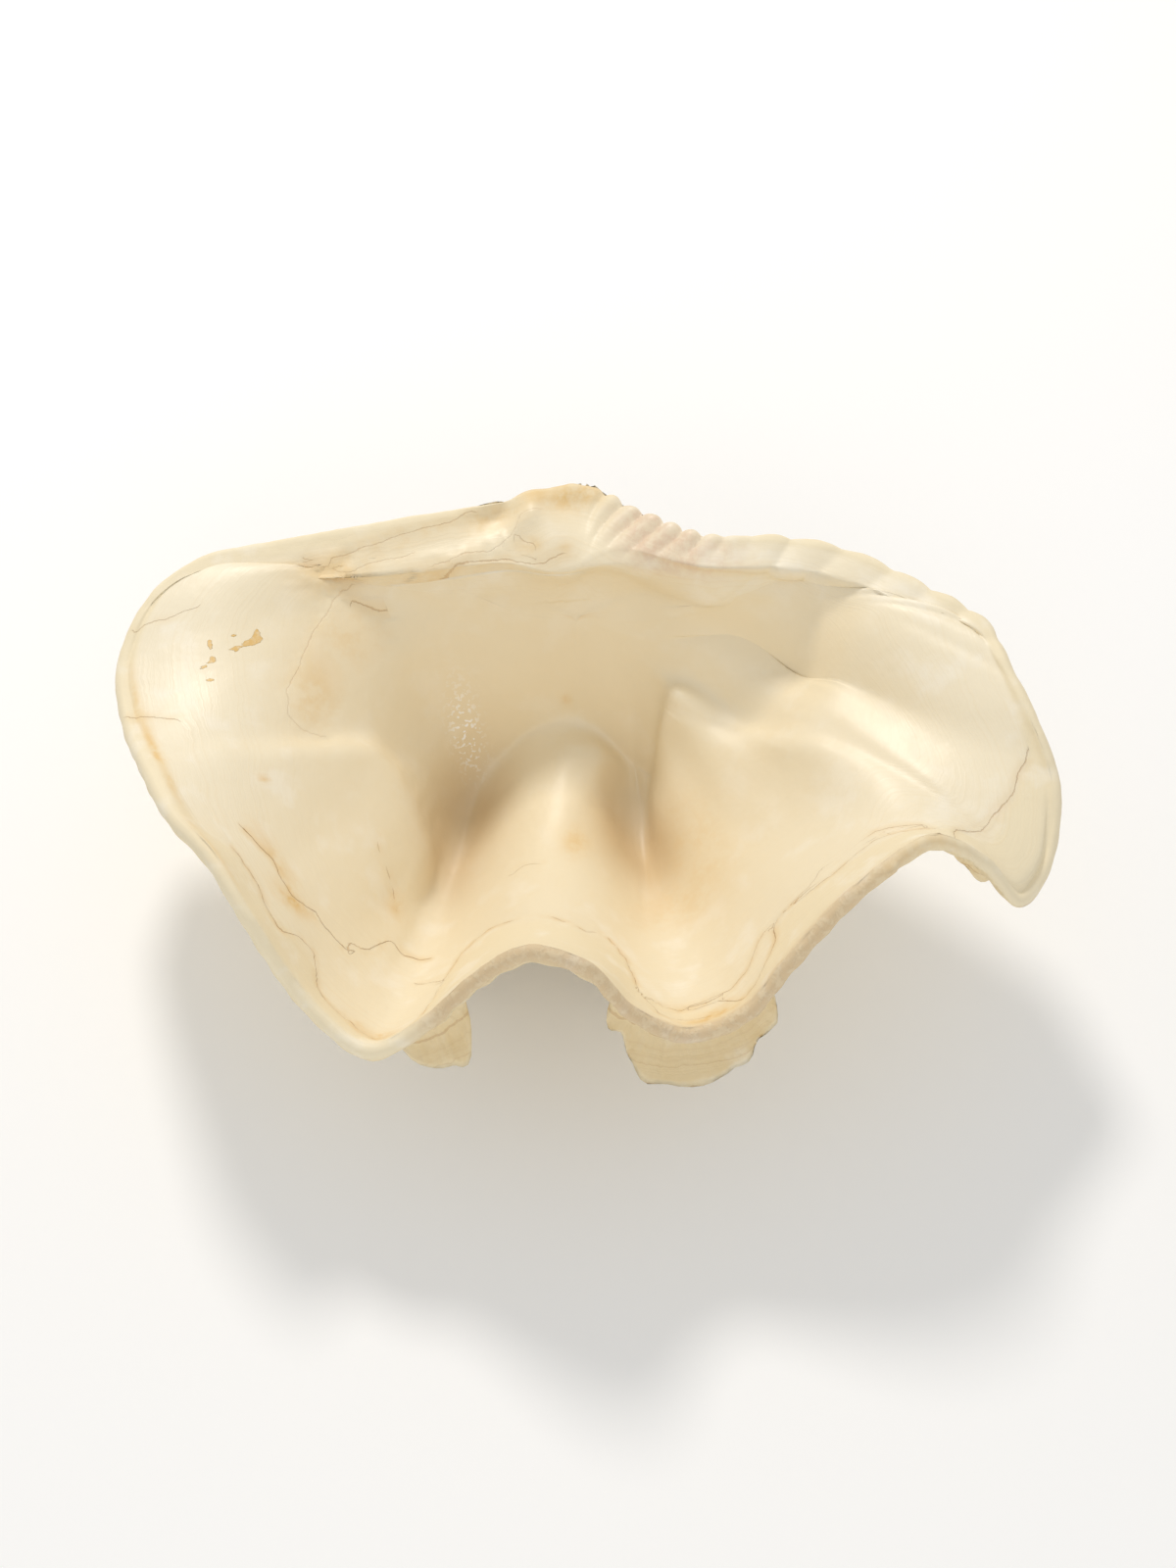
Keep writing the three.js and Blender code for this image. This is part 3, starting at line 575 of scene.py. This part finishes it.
across, high = len(kept), len(points)
verts = laid(np.vstack([points.reshape(-1, 3), points[0].mean(0), points[-1].mean(0)]))
verts[:, 2] = np.maximum(verts[:, 2], 0)                  # ground flat where it stands
ids = np.arange(high * across).reshape(high, across)
nextIds = np.roll(ids, -1, 1)
quads = np.stack([ids[:-1], nextIds[:-1], nextIds[1:], ids[1:]], -1).reshape(-1, 4)
caps = [(high * across, b, a) for a, b in zip(ids[0], nextIds[0])]
caps += [(high * across + 1, a, b) for a, b in zip(ids[-1], nextIds[-1])]
mesh = bpy.data.meshes.new("clam_valve_grown")
mesh.from_pydata(verts.tolist(), [], quads.tolist() + caps)
mesh.update()
mesh.polygons.foreach_set("use_smooth", [True] * len(mesh.polygons))
for name, values in masks.items():
    flat = np.concatenate([values.ravel(), values[0, :1], values[-1, :1]])
    mesh.attributes.new(name, "FLOAT", "POINT").data.foreach_set("value", flat.astype(np.float32))
valve = bpy.data.objects.new("clam_valve_grown", mesh)
bpy.context.scene.collection.objects.link(valve)
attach(valve, "root")
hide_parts("clam_valve")
print("valve built")

# ---------- materials


def linear(hexColour):           # sRGB hex to the linear values that the shaders take
    parts = [int(hexColour[i:i + 2], 16) / 255 for i in (1, 3, 5)]
    return tuple(p / 12.92 if p <= .04045 else ((p + .055) / 1.055) ** 2.4 for p in parts) + (1,)


shellStuff = bpy.data.materials.new("porcelain_aragonite")
shellStuff.use_nodes = True
tree = shellStuff.node_tree
tree.nodes.clear()

# Giant clam shell: dense crossed-lamellar aragonite laid down by the mantle. Inside it is smooth
# and polished like glazed china; lips and outside are open, weathered layers, dull as chalk.
shellLooks = {
    "wing": "#f2e6ca",           # the youngest, whitest layers
    "bowl": "#f0e1c0",           # older layers in the bowl, yellowed
    "lips": "#efe1c0", "outside": "#eddab0",
    "milky": "#f8f1e0",          # where the top layer is thick and whole
    "deep": "#c3a06a",           # painted shade at the bottom of the channels
    "pink": "#e3c9ad",           # tender layers of the byssal folds
    "stain": "#e3bd78", "dirt": "#b98b4e", "crack": "#b98238", "crumbs": "#c8a26e",
    "glint": "#ffffff",          # painted highlights: white specks standing for sparkles of light on the glaze
    "skin": "#deb052",           # flakes of the brown skin that once covered the shell
    "gloss": .42, "dull": .75,   # roughness of china and of chalk
    "clearness": 1.6,            # IOR, between aragonite's 1.53 and 1.68
}
# patch size in mm, detail, roughness of the noise, distortion
grains = {
    "broad": (60, 2, .5, 0), "patchy": (16, 4, .55, 0), "cloudy": (7, 5, .65, 0), "dented": (9, 2, .5, 0),
    "fine": (3.2, 4, .6, 0), "flaky": (2.6, 3, .6, .5),
    "crumb": (1.3, 3, .65, 0),   # real grains are under .1 mm
    "jag": (1.8, 3, .6, 0), "spark": (1.6, 1, .5, 0),
}


def addNode(kind, settings, *inputs, **links):     # inputs in their order, links by name; gives its first output
    node = tree.nodes.new("ShaderNode" + kind)
    for name, value in settings.items():
        setattr(node, name, value)
    given = list(zip([socket for socket in node.inputs if socket.enabled], inputs))
    given += [(node.inputs[name.replace("_", " ")], value) for name, value in links.items()]
    for socket, value in given:
        if isinstance(value, bpy.types.NodeSocket):
            tree.links.new(value, socket)
        elif value is not None:
            socket.default_value = linear(value) if isinstance(value, str) else value
    return next(socket for socket in node.outputs if socket.enabled)


times, plus, timesPlus, highest, sine = ({"operation": name} for name in
                                         ("MULTIPLY", "ADD", "MULTIPLY_ADD", "MAXIMUM", "SINE"))
absolute, eased, mixed = {"operation": "ABSOLUTE"}, {"interpolation_type": "SMOOTHSTEP"}, {"data_type": "RGBA"}
at = {name: addNode("Attribute", {"attribute_name": name}).node.outputs["Fac"] for name in masks}
place3 = addNode("TexCoord", {}).node.outputs["Object"]
noise = {name: addNode("TexNoise", {}, place3, 1000 / size, detail, rough, 2, bend)
         for name, (size, detail, rough, bend) in grains.items()}
inside, outer = at["inside"], addNode("MapRange", {}, at["inside"], 0, 1, 1, 0)

# growth lines keep one distance from the edge, a few tenths of a millimetre apart; drawn 2 mm apart to
# be seen. Outside, that distance runs down each column, so they cross the growth steps in places
wavy = addNode("Math", timesPlus, noise["patchy"], 9, at["lipLine"])
growthLines = addNode("TexNoise", {"noise_dimensions": "1D"}, wavy, .55, 3, .7)
nearLip = addNode("Math", times, addNode("MapRange", eased, at["lipLine"], 30, 95, 1, 0), inside)
swayed = addNode("Math", timesPlus, at["around"], 2 * math.pi / 3.6,
                 addNode("Math", times, noise["patchy"], 7))
riblets = addNode("Math", sine, swayed)

# masks that the colour and the height share
stainEdge = addNode("Math", timesPlus, noise["fine"], .5, noise["patchy"])
stained = addNode("Math", times, at["stain"], addNode("MapRange", eased, stainEdge, .62, .85, .45, 1.1))
strayed = addNode("Math", timesPlus, noise["jag"], 1.1, addNode("Math", plus, at["seamSide"], -.55))
seamWhere = addNode("Math", times, addNode("MapRange", eased, at["seamNear"], 1.3, 2.4, 1, 0),
                    at["seamInk"])
cracked = addNode("Math", times,
                  addNode("MapRange", eased, addNode("Math", absolute, strayed), .05, .26, 1, 0), seamWhere)
skinWhere = addNode("Math", times, at["fleck"], addNode("Math", plus, noise["flaky"], .5))
flakes = addNode("MapRange", eased, skinWhere, .58, .64)
glints = addNode("Math", times, at["glint"], addNode("MapRange", eased, noise["spark"], .56, .6))
loose = addNode("Math", timesPlus, noise["crumb"], .5, noise["fine"])
crumbs = addNode("Math", times, at["crumbly"], addNode("MapRange", eased, loose, .6, .85))

# colour: layers from the youngest outwards, then stains, painted shade in the channels, cracks, flakes and
# painted highlights; each turns the one before towards a colour by the product of two masks
layers = [
    ("bowl", at["warm"], addNode("MapRange", eased, noise["broad"], .3, .7, .6, 1.1)),
    ("pink", at["pink"], addNode("MapRange", eased, noise["fine"], .35, .65, .4, 1)),
    ("lips", at["chalk"], 1),
    ("outside", outer, addNode("MapRange", eased, noise["patchy"], .3, .65, .5, 1)),
    ("milky", addNode("MapRange", eased, noise["patchy"], .5, .7),
     addNode("MapRange", eased, at["warm"], .1, .9, .5, .2)),
    ("bowl", addNode("MapRange", eased, noise["cloudy"], .5, .66),
     addNode("MapRange", eased, at["warm"], 0, 1, .15, .5)),
    ("dirt", outer, addNode("MapRange", eased, growthLines, .56, .72, 0, .35)),
    ("stain", nearLip, addNode("MapRange", eased, growthLines, .5, .72, 0, .06)),
    # painted shade in the hollows of the channels
    ("deep", at["deep"], .55),
    ("stain", stained, 1),
    ("stain", addNode("MapRange", eased, at["seamNear"], 0, 4, .42, 0),
     addNode("Math", times, at["seamInk"], addNode("MapRange", eased, noise["patchy"], .4, .6))),
    ("crack", cracked, addNode("MapRange", eased, noise["patchy"], .3, .6, .3, .7)),
    ("skin", flakes, addNode("MapRange", eased, noise["crumb"], .3, .6, .45, .8)),
    ("crumbs", at["crumbly"], .4),
    ("crumbs", crumbs, .3),
    # painted highlights: white glint specks
    ("glint", glints, 1),
]
colour = linear(shellLooks["wing"])
for name, where, strength in layers:
    colour = addNode("Mix", mixed, addNode("Math", times, where, strength), colour, shellLooks[name])

# gloss: china inside, chalk outside, with duller patches where the glaze has worn
wornGlaze = addNode("MapRange", eased, noise["patchy"], .45, .75, 0, .35)
dullness = addNode("Math", highest, at["chalk"], addNode("Math", timesPlus, stained, .3, wornGlaze))
roughness = addNode("MapRange", {}, dullness, 0, 1, shellLooks["gloss"], shellLooks["dull"])
roughness = addNode("Math", timesPlus, glints, -.18, roughness)

# height in millimetres, for the bump: mask and amount, added up
reliefs = [
    (cracked, -.3), (noise["fine"], addNode("MapRange", eased, at["chalk"], 0, 1, .03, .13)),
    (noise["crumb"], addNode("MapRange", eased, at["chalk"], 0, 1, .01, .05)), (noise["dented"], .3),
    (growthLines, addNode("Math", timesPlus, nearLip, .12, addNode("Math", times, outer, .25))),
    (riblets, addNode("Math", times, outer, .12)), (flakes, .25), (crumbs, -.2),
]
height = 0
for where, amount in reliefs:
    height = addNode("Math", timesPlus, where, amount, height)
relieved = addNode("Bump", {}, 1, .001, Height=height)
surface = addNode("BsdfPrincipled", {}, colour, Roughness=roughness, Normal=relieved,
                  IOR=shellLooks["clearness"])
tree.links.new(surface, tree.nodes.new("ShaderNodeOutputMaterial").inputs["Surface"])
mesh.materials.append(shellStuff)
print("materials ready")

# ---------- studio: floor, light and camera

studio = {
    "floor": "#fbfbfa",
    "lens": 50, "distance": 760, "aim": (1.5, -115.5, -20),   # mm in the shell frame
    "fromOpening": 30,           # degrees the view leans from the opening to the front margin
}

floorMesh = bpy.data.meshes.new("studio_floor")
floorMesh.from_pydata([(-3, -3, 0), (3, -3, 0), (3, 3, 0), (-3, 3, 0)], [], [(0, 1, 2, 3)])
floor = bpy.data.objects.new("studio_floor", floorMesh)
bpy.context.scene.collection.objects.link(floor)
paper = bpy.data.materials.new("matt_white_paper")
paper.use_nodes = True
paper.node_tree.nodes["Principled BSDF"].inputs["Base Color"].default_value = linear(studio["floor"])
paper.node_tree.nodes["Principled BSDF"].inputs["Roughness"].default_value = .9
floorMesh.materials.append(paper)


def aimed(thing, place, target, upward):
    back = (place - target).normalized()
    rightward = upward.cross(back).normalized()
    thing.matrix_world = Matrix((rightward, back.cross(rightward), back)).transposed().to_4x4()
    thing.location = place


lean = math.radians(studio["fromOpening"])
aim = Vector(laid(studio["aim"]))
eye = Vector(laid(np.array(studio["aim"])
                  + studio["distance"] * np.array([0, -math.sin(lean), math.cos(lean)])))
upward = Vector(laid((0, 100, 0))) - Vector(laid((0, 0, 0)))
cameraData = bpy.data.cameras.new("camera")
cameraData.lens = studio["lens"]
cameraData.sensor_width = 36
camera = bpy.data.objects.new("camera", cameraData)
bpy.context.scene.collection.objects.link(camera)
aimed(camera, eye, aim, upward)
bpy.context.scene.camera = camera


def softbox(name, place, size, power, colour):
    data = bpy.data.lights.new(name, "AREA")
    data.shape, data.size, data.energy = "DISK", size, power
    data.color = linear(colour)[:3]
    lamp = bpy.data.objects.new(name, data)
    bpy.context.scene.collection.objects.link(lamp)
    aimed(lamp, Vector(place), Vector((0, 0, .06)), Vector((0, 1, .1)))


softbox("key_softbox", (-.30, .95, 1.25), .3, 11, "#fffaf4")
softbox("fill_softbox", (.1, -1.3, .8), 1.2, 3.5, "#ffffff")
world = bpy.data.worlds.new("studio_air")
world.use_nodes = True
world.node_tree.nodes["Background"].inputs[0].default_value = linear("#ffffff")
world.node_tree.nodes["Background"].inputs[1].default_value = .62
bpy.context.scene.world = world
bpy.context.scene.view_settings.view_transform = "Standard"
print("studio ready")
